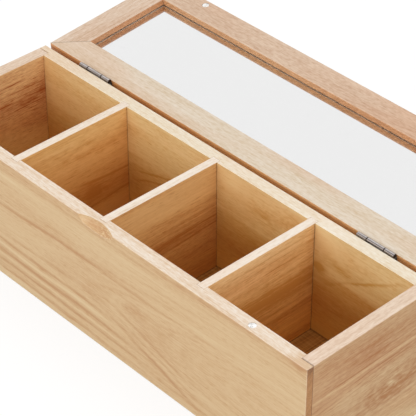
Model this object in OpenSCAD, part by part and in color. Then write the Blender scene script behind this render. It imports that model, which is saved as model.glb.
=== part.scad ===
// Tea bag organizer: a long wooden box with four compartments in a row and a hinged window lid.
// Millimetres, +Z up. The base stands on Z = 0 and X = 0 is the middle of the length. The hinge
// pins lie along X above Y = 0, so the front is at -Y. The lid is drawn open, lying behind the box.

/* [Box] */
// Length along the row of compartments
box_l = 360; // [280:1:480]
// Depth from the front face to the back face
box_d = 108; // [84:1:150]
// Height from the base to the rim
box_h = 96.5; // [60:0.5:140]
// Thickness of the front panel
front_t = 9.5; // [8:0.5:14]
// Thickness of the back panel
back_t = 9.5; // [8:0.5:14]
// Thickness of the two end panels
end_t = 9.5; // [7:0.5:14]
// Thickness of the three dividers
divider_t = 6; // [4:0.5:9]
// Flat sanded off each outer edge of the box and of the lid
arris = 0.3; // [0.2:0.1:1]

/* [Joinery] */
// Wood left at the ends of the front and back panels, in front of the end panels
corner_lip = 5; // [4:0.5:6]
// Open line between that wood and the end panel's end grain
corner_gap = 0.5; // [0.1:0.05:0.5]
// Depth of the housings that take the dividers' ends
housing_depth = 3; // [2:0.5:3.5]
// Depth of the groove that takes the edges of the floor panel
groove_depth = 4; // [2.5:0.5:5]
// Clearance of a piece in its housing or groove
joint_gap = 0.1; // [0.05:0.05:0.2]
// Thickness of the floor panel
floor_t = 4; // [3:0.5:6]
// Height of the floor panel's underside above the base
floor_rise = 8; // [4:0.5:14]

/* [Finger scoop] */
// Length of the scoop along the front rim
scoop_l = 33; // [24:1:44]
// Depth of the scoop into the front rim
scoop_depth = 4.4; // [2.5:0.1:4.8]
// Radius of the scoop's hollow section
scoop_r = 5.6; // [5:0.1:7]

/* [Lid] */
// Thickness of the lid frame
lid_t = 12; // [9:0.5:14]
// Width of the front and rear rails
rail_w = 20; // [14:0.5:28]
// Width of the left and right stiles
stile_w = 20; // [14:0.5:28]
// Space left between the closed lid and the rim
lid_gap = 0.3; // [0.2:0.05:0.6]
// Thickness of the window pane
pane_t = 2; // [1.5:0.1:3]
// Height of the pane above the lid's underside
pane_rise = 4.8; // [2:0.1:5]
// Depth of the groove that takes the pane's edges
pane_groove = 5; // [3:0.5:7]
// Clearance of the pane in its groove
pane_gap = 0.1; // [0.05:0.05:0.2]

/* [Magnets] */
// Diameter of a magnet disc
magnet_d = 5; // [3:0.5:6]
// Thickness of a magnet disc
magnet_t = 3; // [2:0.5:4]
// Radial clearance of a magnet in its hole
magnet_gap = 0.05; // [0.02:0.01:0.1]
// Distance of the left pair of magnets from the left end
left_magnet_inset = 48; // [36:0.5:60]
// Distance of the right pair of magnets from the right end
right_magnet_inset = 48; // [36:0.5:60]

/* [Hinges] */
// Length of a hinge along its pin
hinge_l = 30; // [26:1:38]
// Distance of a hinge's outer end from the end of the box
hinge_inset = 35.5; // [20:0.5:60]
// Reach of a leaf from the pin's axis to the leaf's free edge
leaf_reach = 9.5; // [9:0.1:9.6]
// Thickness of the leaf strip
leaf_t = 0.7; // [0.5:0.1:0.9]
// Space between the two leaves when the hinge is folded
fold_gap = 2.6; // [2.4:0.1:3.2]
// Diameter of the pin
pin_d = 1.4; // [1.2:0.1:1.6]
// Outer diameter of the rolled knuckles
knuckle_d = 2.8; // [2.6:0.1:3.2]
// Length of each of the two outer knuckles
outer_knuckle_l = 8; // [6:0.5:9]
// Clearance between neighbouring knuckles
knuckle_gap = 0.15; // [0.1:0.05:0.3]
// Radial clearance of the pin in the knuckles
pin_gap = 0.05; // [0.03:0.01:0.09]
// Distance of each end of the pin inside the hinge's end
pin_recess = 0.4; // [0.2:0.1:0.8]
// Open seam where the rolled strip meets the leaf again
seam_gap = 0.15; // [0.1:0.05:0.2]

/* [Hinge screws] */
// Distance between the two screws of a leaf
screw_pitch = 18; // [14:0.5:20]
// Diameter of the shank
shank_d = 2; // [1.6:0.1:2.4]
// Length of the shank under the head
shank_l = 7; // [5:0.5:8]
// Length of the tapered point, which is part of the shank
point_l = 2; // [1:0.5:3]
// Diameter of the round head
head_d = 3.6; // [3.2:0.1:4]
// Height of the round head
head_h = 1.4; // [1.1:0.1:1.6]
// Radial clearance of the shank in the wood and in the leaf
shank_gap = 0.05; // [0.03:0.01:0.2]
// Space left between facing heads when the lid is fully open
head_gap = 0.3; // [0.1:0.05:0.4]
// Length of each arm of the cross recess
recess_l = 1.9; // [1.4:0.1:2.2]
// Width of each arm of the cross recess
recess_w = 0.45; // [0.3:0.05:0.6]
// Depth of the cross recess
recess_depth = 0.7; // [0.4:0.1:0.9]

/* [Hidden] */
$fn = 48;
cut = 1; // how far a cut runs past the face that it opens

// Pin axis and the faces of the box
leaf_y = fold_gap / 2;
pin_back = leaf_y + leaf_t;
pin_z = box_h + lid_gap / 2;
back_y = -pin_back;
front_y = back_y - box_d;
end_x = box_l / 2;

// Inside of the box
inner_front_y = front_y + front_t;
inner_back_y = back_y - back_t;
inner_end_x = end_x - end_t;
bay_w = (2 * inner_end_x - 3 * divider_t) / 4;
bay_pitch = bay_w + divider_t;
floor_top = floor_rise + floor_t;
floor_x = inner_end_x + groove_depth - joint_gap;
floor_y = [inner_front_y - groove_depth + joint_gap, inner_back_y + groove_depth - joint_gap];
divider_y = [inner_front_y - housing_depth + joint_gap, inner_back_y + housing_depth - joint_gap];
end_panel_y = [front_y + corner_lip + corner_gap, back_y - corner_lip - corner_gap];

// Arc of the scoop's inner edge on the rim, seen from above
scoop_arc_r = (pow(scoop_l / 2, 2) + pow(scoop_depth, 2)) / (2 * scoop_depth);

// Lid, closed
lid_z = box_h + lid_gap;
window_x = end_x - stile_w;
window_y = [front_y + rail_w, back_y - rail_w];

// Magnets stand in the middle of the front rim
magnet_y = front_y + front_t / 2;
left_magnet_x = -end_x + left_magnet_inset;
right_magnet_x = end_x - right_magnet_inset;

// Hinges
hinge_x = end_x - hinge_inset - hinge_l / 2;
knuckle_clear = 0.3;
leaf_top = knuckle_d / 2 + knuckle_clear;
screw_row = (leaf_top + leaf_reach) / 2;
inner_knuckle_l = hinge_l - 2 * outer_knuckle_l - 2 * knuckle_gap;

// The lid opens until the facing screw heads meet: at that fold the leaves stand
// two heads and their gap apart, measured at the screws.
screw_arm = norm([leaf_y, screw_row]);
half_fold = asin((head_h + head_gap / 2) / screw_arm) - atan(leaf_y / screw_row);
lid_open_angle = 180 - 2 * half_fold;

golden_wood = "#d8b88c";
pale_wood = "#e6d2b4";
rosy_wood = "#d9ba99";
plywood = "#b98a55";
steel = "#8f8d8c";
nickel = "#dcdcda";

// ---- Shared shapes ----

// The two ends of a stretch of the given width with its middle at centre
function about(centre, width) = [centre - width / 2, centre + width / 2];

// Cuboid between two planes on each axis
module span(x, y, z) {
    translate([x[0], y[0], z[0]])
        cube([x[1] - x[0], y[1] - y[0], z[1] - z[0]]);
}

// Rectangle with its corners cut off at 45 degrees
module eased_rectangle(u, v, c) {
    polygon([
        [u[0] + c, v[0]], [u[1] - c, v[0]], [u[1], v[0] + c], [u[1], v[1] - c],
        [u[1] - c, v[1]], [u[0] + c, v[1]], [u[0], v[1] - c], [u[0], v[0] + c]]);
}

// Cuboid with all twelve edges sanded to a flat of width c
module eased_span(x, y, z, c) {
    intersection() {
        translate([0, 0, z[0]])
            linear_extrude(z[1] - z[0]) eased_rectangle(x, y, c);
        translate([0, y[1], 0])
            rotate([90, 0, 0]) linear_extrude(y[1] - y[0]) eased_rectangle(x, z, c);
        translate([x[0], 0, 0])
            rotate([90, 0, 90]) linear_extrude(x[1] - x[0]) eased_rectangle(y, z, c);
    }
}

// Turns a piece of the closed lid about the pins to its open place
module open_lid() {
    translate([0, 0, pin_z])
        rotate([-lid_open_angle, 0, 0])
            translate([0, 0, -pin_z])
                children();
}

// ---- Box ----

// Front or back panel with its outer face at Y = 0 and the inside of the box towards +Y:
// housings for the dividers, a groove for the floor and a rabbet at each end for the end panel
module long_panel(thickness) {
    difference() {
        intersection() {
            span([-end_x, end_x], [0, thickness], [0, box_h]);
            eased_span([-end_x, end_x], [0, box_d], [0, box_h], arris);
        }
        for (i = [-1, 0, 1])
            span(about(i * bay_pitch, divider_t + 2 * joint_gap),
                [thickness - housing_depth, thickness + cut], [floor_top, box_h + cut]);
        span(about(0, 2 * (floor_x + joint_gap)),
            [thickness - groove_depth, thickness + cut], [floor_rise, floor_top + joint_gap]);
        for (end = [0, 1])
            mirror([end, 0, 0])
                span([inner_end_x, end_x + cut], [corner_lip, thickness + cut], [-cut, box_h + cut]);
    }
}

// Shallow finger hollow, as cut by a disc with a round edge held level with the rim
module finger_scoop() {
    translate([0, front_y + scoop_depth - scoop_arc_r, box_h])
        rotate_extrude($fn = 180) {
            translate([scoop_arc_r - scoop_r, 0]) circle(scoop_r);
            translate([0, -scoop_r]) square([scoop_arc_r - scoop_r, 2 * scoop_r]);
        }
}

module magnet_hole(x, z) {
    translate([x, magnet_y, z]) cylinder(d = magnet_d + 2 * magnet_gap, h = magnet_t + cut);
}

module front_panel() {
    color(golden_wood)
        difference() {
            translate([0, front_y, 0]) long_panel(front_t);
            finger_scoop();
            magnet_hole(left_magnet_x, box_h - magnet_t);
            magnet_hole(right_magnet_x, box_h - magnet_t);
        }
}

module back_panel() {
    color(golden_wood)
        difference() {
            translate([0, back_y, 0]) mirror([0, 1, 0]) long_panel(back_t);
            for (side = [-1, 1])
                hinge_place(side) leaf_screws_at() pilot_hole();
        }
}

// Right end panel: stands in the rabbets of the long panels and is grooved for the floor
module end_panel() {
    color(rosy_wood)
        difference() {
            intersection() {
                span([inner_end_x, end_x], end_panel_y, [0, box_h]);
                eased_span([-end_x, end_x], [front_y, back_y], [0, box_h], arris);
            }
            span([inner_end_x - cut, floor_x + joint_gap], [front_y, back_y],
                [floor_rise, floor_top + joint_gap]);
        }
}

module left_end_panel() { mirror([1, 0, 0]) end_panel(); }
module right_end_panel() { end_panel(); }

module floor_panel() {
    color(plywood) span([-floor_x, floor_x], floor_y, [floor_rise, floor_top]);
}

module divider(i) {
    color(pale_wood)
        span(about(i * bay_pitch, divider_t), divider_y, [floor_top, box_h]);
}

module left_divider() { divider(-1); }
module middle_divider() { divider(0); }
module right_divider() { divider(1); }

module magnet(x, z) {
    color(nickel) translate([x, magnet_y, z]) cylinder(d = magnet_d, h = magnet_t);
}

module left_box_magnet() { magnet(left_magnet_x, box_h - magnet_t); }
module right_box_magnet() { magnet(right_magnet_x, box_h - magnet_t); }

// ---- Lid ----

// Section of a lid member, from its outer edge at 0 to the window at width,
// with the pane's groove in the window edge
module member_section(width) {
    difference() {
        eased_rectangle([0, width], [0, lid_t], arris);
        translate([width - pane_groove, pane_rise - pane_gap])
            square([pane_groove + cut, pane_t + 2 * pane_gap]);
    }
}

// Corner of a closed lid that lies from X = 0 and Y = 0 inwards, with its outer edges sanded
module lid_blank() {
    eased_span([0, box_l], [0, box_d], [0, lid_t], arris);
}

// Rail from the lid's corner at the origin along +X, mitred to both stiles
module rail() {
    intersection() {
        rotate([90, 0, 90]) linear_extrude(box_l) member_section(rail_w);
        linear_extrude(lid_t)
            polygon([[0, 0], [box_l, 0], [box_l - stile_w, rail_w], [stile_w, rail_w]]);
        lid_blank();
    }
}

// Stile from the lid's corner at the origin along +Y, mitred to both rails
module stile() {
    intersection() {
        translate([0, box_d, 0])
            rotate([90, 0, 0]) linear_extrude(box_d) member_section(stile_w);
        linear_extrude(lid_t)
            polygon([[0, 0], [0, box_d], [stile_w, box_d - rail_w], [stile_w, rail_w]]);
        lid_blank();
    }
}

module lid_front_rail() {
    color(rosy_wood)
        open_lid()
            difference() {
                translate([-end_x, front_y, lid_z]) rail();
                magnet_hole(left_magnet_x, lid_z - cut);
                magnet_hole(right_magnet_x, lid_z - cut);
            }
}

module lid_rear_rail() {
    color(pale_wood)
        open_lid()
            difference() {
                translate([-end_x, back_y, lid_z]) mirror([0, 1, 0]) rail();
                for (side = [-1, 1])
                    hinge_place(side) mirror([0, 0, 1]) leaf_screws_at() pilot_hole();
            }
}

module lid_left_stile() {
    color(rosy_wood) open_lid() translate([-end_x, front_y, lid_z]) stile();
}

module lid_right_stile() {
    color(rosy_wood) open_lid() translate([end_x, front_y, lid_z]) mirror([1, 0, 0]) stile();
}

module lid_pane() {
    reach = pane_groove - pane_gap;
    color([0.9, 0.93, 0.93, 0.35])
        open_lid()
            span([-window_x - reach, window_x + reach], [window_y[0] - reach, window_y[1] + reach],
                [lid_z + pane_rise, lid_z + pane_rise + pane_t]);
}

module left_lid_magnet() { open_lid() magnet(left_magnet_x, lid_z); }
module right_lid_magnet() { open_lid() magnet(right_magnet_x, lid_z); }

// ---- Hinges, drawn about the pin axis with the box leaf hanging down and the lid closed ----

module hinge_place(side) {
    translate([side * hinge_x, 0, pin_z]) children();
}

// The two screw places of a leaf that hangs down: the head's seat faces +Y
module leaf_screws_at() {
    for (side = [-1, 1])
        translate([side * screw_pitch / 2, -leaf_y, -screw_row]) rotate([-90, 0, 0]) children();
}

// Knuckle rolled from the leaf strip, with the crank that joins it to the leaf and its open seam
module knuckle(from, to) {
    seam_angle = 75;
    crank_angle = 30;
    crank_r = (knuckle_d - leaf_t) / 2;
    difference() {
        union() {
            translate([from, 0, 0]) rotate([0, 90, 0]) cylinder(d = knuckle_d, h = to - from);
            translate([from, 0, 0])
                rotate([90, 0, 90])
                    linear_extrude(to - from)
                        polygon([[-pin_back, -leaf_top], [-leaf_y, -leaf_top],
                            [-crank_r * sin(crank_angle), -crank_r * cos(crank_angle)],
                            [0, 0], [-knuckle_d / 2, 0]]);
        }
        translate([from - cut, 0, 0])
            rotate([-seam_angle, 0, 0])
                span([0, to - from + 2 * cut], [0, knuckle_d], about(0, seam_gap));
    }
}

// Leaf with knuckles over the given stretches of the pin
module leaf(knuckles) {
    difference() {
        union() {
            span([-hinge_l / 2, hinge_l / 2], [-pin_back, -leaf_y], [-leaf_reach, -leaf_top]);
            for (k = knuckles) knuckle(k[0], k[1]);
        }
        translate([-hinge_l / 2 - cut, 0, 0])
            rotate([0, 90, 0]) cylinder(d = pin_d + 2 * pin_gap, h = hinge_l + 2 * cut);
        leaf_screws_at()
            translate([0, 0, -leaf_t - cut])
                cylinder(d = shank_d + 2 * shank_gap, h = leaf_t + 2 * cut);
    }
}

module box_leaf(side) {
    color(steel)
        hinge_place(side)
            leaf([[-hinge_l / 2, -hinge_l / 2 + outer_knuckle_l],
                [hinge_l / 2 - outer_knuckle_l, hinge_l / 2]]);
}

module lid_leaf(side) {
    color(steel)
        open_lid()
            hinge_place(side)
                mirror([0, 0, 1]) leaf([[-inner_knuckle_l / 2, inner_knuckle_l / 2]]);
}

module pin(side) {
    pin_l = hinge_l - 2 * pin_recess;
    color(steel)
        hinge_place(side)
            translate([-pin_l / 2, 0, 0]) rotate([0, 90, 0]) cylinder(d = pin_d, h = pin_l);
}

// Round-head wood screw: the seat of the head at the origin, the head towards +Z
module screw() {
    dome_r = (pow(head_d / 2, 2) + pow(head_h, 2)) / (2 * head_h);
    difference() {
        union() {
            intersection() {
                translate([0, 0, head_h - dome_r]) sphere(dome_r);
                cylinder(d = 2 * head_d, h = head_h + cut);
            }
            translate([0, 0, point_l - shank_l]) cylinder(d = shank_d, h = shank_l - point_l);
            translate([0, 0, -shank_l]) cylinder(d1 = 0, d2 = shank_d, h = point_l);
        }
        for (turn = [0, 90])
            rotate([0, 0, turn])
                span(about(0, recess_l), about(0, recess_w), [head_h - recess_depth, head_h + cut]);
    }
}

// Hole in the wood for a screw's shank
module pilot_hole() {
    bore_r = shank_d / 2 + shank_gap;
    translate([0, 0, point_l - shank_l - shank_gap]) cylinder(r = bore_r, h = shank_l - point_l + cut);
    translate([0, 0, -shank_l - shank_gap]) cylinder(r1 = shank_gap, r2 = bore_r, h = point_l);
}

module box_screws(side) {
    color(steel) hinge_place(side) leaf_screws_at() screw();
}

module lid_screws(side) {
    color(steel) open_lid() hinge_place(side) mirror([0, 0, 1]) leaf_screws_at() screw();
}

module left_hinge_box_leaf() { box_leaf(-1); }
module left_hinge_lid_leaf() { lid_leaf(-1); }
module left_hinge_pin() { pin(-1); }
module left_hinge_box_screws() { box_screws(-1); }
module left_hinge_lid_screws() { lid_screws(-1); }
module right_hinge_box_leaf() { box_leaf(1); }
module right_hinge_lid_leaf() { lid_leaf(1); }
module right_hinge_pin() { pin(1); }
module right_hinge_box_screws() { box_screws(1); }
module right_hinge_lid_screws() { lid_screws(1); }

front_panel();
back_panel();
left_end_panel();
right_end_panel();
floor_panel();
left_divider();
middle_divider();
right_divider();
left_box_magnet();
right_box_magnet();
lid_front_rail();
lid_rear_rail();
lid_left_stile();
lid_right_stile();
lid_pane();
left_lid_magnet();
right_lid_magnet();
left_hinge_box_leaf();
left_hinge_lid_leaf();
left_hinge_pin();
left_hinge_box_screws();
left_hinge_lid_screws();
right_hinge_box_leaf();
right_hinge_lid_leaf();
right_hinge_pin();
right_hinge_box_screws();
right_hinge_lid_screws();
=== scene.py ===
"""Tea bag organizer box: finishes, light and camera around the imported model.

The frame is the model's own: +Z up, the box stands on Z = 0, the hinge pins lie along X above
Y = 0, the front is at -Y and the open lid lies at +Y. Lengths are written in millimetres.
"""

import math

import bmesh
import bpy
from mathutils import Euler, Matrix, Vector


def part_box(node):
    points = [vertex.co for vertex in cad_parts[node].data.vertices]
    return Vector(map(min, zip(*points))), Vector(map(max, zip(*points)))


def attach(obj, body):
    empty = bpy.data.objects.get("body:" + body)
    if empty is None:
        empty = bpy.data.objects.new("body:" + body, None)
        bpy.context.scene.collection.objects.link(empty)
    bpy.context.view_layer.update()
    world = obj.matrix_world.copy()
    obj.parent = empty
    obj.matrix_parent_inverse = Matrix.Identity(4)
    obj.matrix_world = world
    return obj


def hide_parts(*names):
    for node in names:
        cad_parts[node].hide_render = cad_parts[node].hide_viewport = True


MM = 0.001
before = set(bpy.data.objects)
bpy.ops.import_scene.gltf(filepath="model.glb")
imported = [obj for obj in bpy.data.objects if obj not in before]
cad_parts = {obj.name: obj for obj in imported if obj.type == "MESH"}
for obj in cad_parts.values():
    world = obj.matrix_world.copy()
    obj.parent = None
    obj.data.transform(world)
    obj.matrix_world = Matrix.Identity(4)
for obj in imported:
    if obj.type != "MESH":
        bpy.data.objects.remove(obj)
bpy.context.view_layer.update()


def mm(*values):
    return Vector(values) * MM


# ---- Sizes that the finished pieces share with the model ----

BOX_H = 96.5
LID_OPEN = 174.856  # degrees that the lid is turned back from closed
PIN_Z = 96.65
LEAF_FRONT = 1.3  # from the pin's axis to the face of a leaf
SCREW_ROW = 5.6  # from the pin's axis to the screws
SCREW_PITCH = 18.0
HINGE_X = 129.5
KNUCKLE_JOINT = 7.075  # from a hinge's middle to the joint between two knuckles
MAGNET_D = 5.0
MAGNET_T = 3.0
PANE_Z = 101.4  # where the pane's lower face meets the frame of the closed lid


def lid_turn():
    """Turns a place on the closed lid about the pins to the open lid."""
    pin = Matrix.Translation(mm(0, 0, PIN_Z))
    return pin @ Matrix.Rotation(math.radians(-LID_OPEN), 4, "X") @ pin.inverted()


def towards(azimuth, elevation):
    """The way from the box to a camera or lamp round it, from angles in degrees."""
    az, el = math.radians(azimuth), math.radians(elevation)
    return Vector((math.sin(az) * math.cos(el), -math.cos(az) * math.cos(el), math.sin(el)))


# ---- Camera ----

VIEW_AZIMUTH = 46.927
VIEW_ELEVATION = 36.929
VIEW_DISTANCE = 1216.7
VIEW_AIM = (-8.82, -8.01, 52.18)
LENS = 161.49
SENSOR = 36.0


def make_camera():
    back = towards(VIEW_AZIMUTH, VIEW_ELEVATION)
    data = bpy.data.cameras.new("camera")
    data.sensor_width = SENSOR
    data.lens = LENS
    data.clip_start = 0.01
    data.clip_end = 50.0
    camera = bpy.data.objects.new("camera", data)
    camera.location = mm(*VIEW_AIM) + back * VIEW_DISTANCE * MM
    camera.rotation_euler = back.to_track_quat("Z", "Y").to_euler()
    bpy.context.scene.collection.objects.link(camera)
    bpy.context.scene.camera = camera


# ---- Nodes and colours ----

MATH, VECTOR, RANGE = "ShaderNodeMath", "ShaderNodeVectorMath", "ShaderNodeMapRange"
NOISE, RAMP, MIX = "ShaderNodeTexNoise", "ShaderNodeValToRGB", "ShaderNodeMix"
COORDINATES, SPLIT, JOIN = "ShaderNodeTexCoord", "ShaderNodeSeparateXYZ", "ShaderNodeCombineXYZ"
PLACE, FACING = "Object", "Normal"  # outputs of a Texture Coordinate node
MIX_A, MIX_B = 6, 7  # colour sockets of a Mix node
PAINT = {"out": 2, "data_type": "RGBA"}  # for a Mix node that mixes colours
SMOOTH = {"interpolation_type": "SMOOTHSTEP"}


def add(tree, kind, *inputs, out=0, stops=(), **settings):
    """Adds a node with its settings and links and gives one of its outputs.

    Inputs come in order, or as one dict by name or number, each a value or another node's
    output, and stops are a colour ramp's (position, hex colour) pairs.
    """
    node = tree.nodes.new(kind)
    for name, value in settings.items():
        setattr(node, name, value)
    by_key = inputs[0] if inputs and isinstance(inputs[0], dict) else dict(enumerate(inputs))
    for key, value in by_key.items():
        if isinstance(value, bpy.types.NodeSocket):
            tree.links.new(value, node.inputs[key])
        else:
            node.inputs[key].default_value = value
    for i, (position, colour) in enumerate(stops):
        stop = node.color_ramp.elements[i] if i < 2 else node.color_ramp.elements.new(position)
        stop.position, stop.color = position, linear(colour)
    return node.outputs[out] if node.outputs else node


def linear(colour):
    """An sRGB hex colour as linear RGBA."""
    parts = [int(colour[i : i + 2], 16) / 255 for i in (1, 3, 5)]
    return [c / 12.92 if c <= 0.04045 else ((c + 0.055) / 1.055) ** 2.4 for c in parts] + [1.0]


def new_material(name, **constants):
    """An empty material: its node tree and the sockets of its shader. Constants go straight
    onto the shader's own sockets."""
    material = bpy.data.materials.new(name)
    material.use_nodes = True
    tree = material.node_tree
    tree.nodes.clear()
    surface = add(tree, "ShaderNodeBsdfPrincipled")
    add(tree, "ShaderNodeOutputMaterial", surface)
    for socket, value in constants.items():
        surface.node.inputs[socket.replace("_", " ")].default_value = value
    return material, tree, surface.node.inputs


def wire(tree, shader, **patterns):
    """Links finished patterns to the shader's sockets."""
    for socket, pattern in patterns.items():
        tree.links.new(pattern, shader[socket.replace("_", " ")])


def place_in_mm(tree):
    place = add(tree, COORDINATES, out=PLACE)
    return add(tree, VECTOR, {0: place, "Scale": 1 / MM}, operation="SCALE")


# ---- Materials ----

TONES = (0.2, 0.5, 0.85)  # tones that the pale, middle and dark colours of wood stand for
END_GRAIN = ("#c08d5a", "#ae7945", "#85572d")
# Colour of the lines along the joints: painted shade in inside corners and under the pane, dark
# joint lines at the mitres and lips
DARK_JOINT_AND_SHADE = "#3a2010"


def hump(tree, place, spot, spread):
    """A soft-edged patch round a spot: 1 in its middle, falling to 0 within twice its spread,
    all in mm."""
    start = [-s / w for s, w in zip(spot, spread)]
    near = add(tree, "ShaderNodeMapping", {0: place, 1: start, 3: [1 / (w * MM) for w in spread]})
    near = add(tree, VECTOR, near, near, operation="DOT_PRODUCT", out="Value")
    return add(tree, MATH, 1 / math.e, near, operation="POWER")


def off_plane(tree, place, across, middle):
    """How far each place lies from a plane, given by its normal and its own distance in mm."""
    off = add(tree, VECTOR, place, across, operation="DOT_PRODUCT", out="Value")
    return add(tree, MATH, off, middle * MM, operation="SUBTRACT")


def figured(tree, whole, board, ring, figure):
    """Bends the growth bands round each figured spot, and darkens and mottles the wood there.

    Gives the bent bands and the wood's first tone, which lies between 0, pale, and 1, dark.
    """
    tone = 0.5
    for spot, spread, push, dark, mottling, size in figure:
        patch = hump(tree, whole, spot, spread)
        ring = add(tree, MATH, patch, -push, ring, operation="MULTIPLY_ADD")
        tone = add(tree, MATH, patch, dark, tone, operation="MULTIPLY_ADD")
        mottle = add(tree, VECTOR, board, (0.45, 1, 1), operation="MULTIPLY")
        mottle = {"Vector": mottle, "Scale": 1 / size, "Detail": 2.0}
        mottle = add(tree, MATH, add(tree, NOISE, mottle), 0.5, operation="SUBTRACT")
        mottle = add(tree, MATH, mottle, patch, operation="MULTIPLY")
        tone = add(tree, MATH, mottle, mottling, tone, operation="MULTIPLY_ADD")
    return ring, tone


def veined(tree, whole, along, bend, fibre, tone, veins):
    """Draws dark and pale veins, which wander by a few mm and fray into the fibres."""
    for spot, spread, slope, half, dark in veins:
        c, s = math.cos(math.radians(slope)), math.sin(math.radians(slope))
        across = (-s, 0, c) if along == "X" else (0, -s, c)
        off = off_plane(tree, whole, across, sum(a * b for a, b in zip(across, spot)))
        off = add(tree, MATH, bend, 5 * MM, off, operation="MULTIPLY_ADD")
        off = add(tree, MATH, fibre, 2.5 * MM, off, operation="MULTIPLY_ADD")
        off = add(tree, MATH, off, operation="ABSOLUTE")
        line = add(tree, RANGE, off, 0.0, half * MM, dark, 0.0, **SMOOTH)
        near = hump(tree, whole, spot, spread)
        tone = add(tree, MATH, line, near, tone, operation="MULTIPLY_ADD")
    return tone


def seamed(tree, whole, wall, flat, colour, seams):
    """Darkens a line along each joint, here more and there less: painted shade in the inside
    corners and where the pane meets the frame, and dark joint lines along the lid's mitres and the
    front's lips.
    """
    patchy = add(tree, NOISE, {"Vector": whole, "Scale": 1 / (14 * MM), "Detail": 2.0})
    patchy = add(tree, RANGE, patchy, 0.3, 0.6, 0.55, 1.0)
    for across, middle, half, dark, rim_dark in seams:
        off = off_plane(tree, whole, across, middle)
        off = add(tree, MATH, off, operation="ABSOLUTE")
        line = add(tree, RANGE, off, 0.3 * half * MM, half * MM, 1.0, 0.0, **SMOOTH)
        line = add(tree, MATH, line, patchy, operation="MULTIPLY")
        dark = add(tree, MATH, wall, dark, operation="MULTIPLY", use_clamp=True)
        dark = add(tree, RANGE, flat, 0.0, 1.0, dark, rim_dark)
        line = add(tree, MATH, line, dark, operation="MULTIPLY")
        colour = add(tree, MIX, {0: line, MIX_A: colour, MIX_B: linear(DARK_JOINT_AND_SHADE)}, **PAINT)
    return colour


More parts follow.
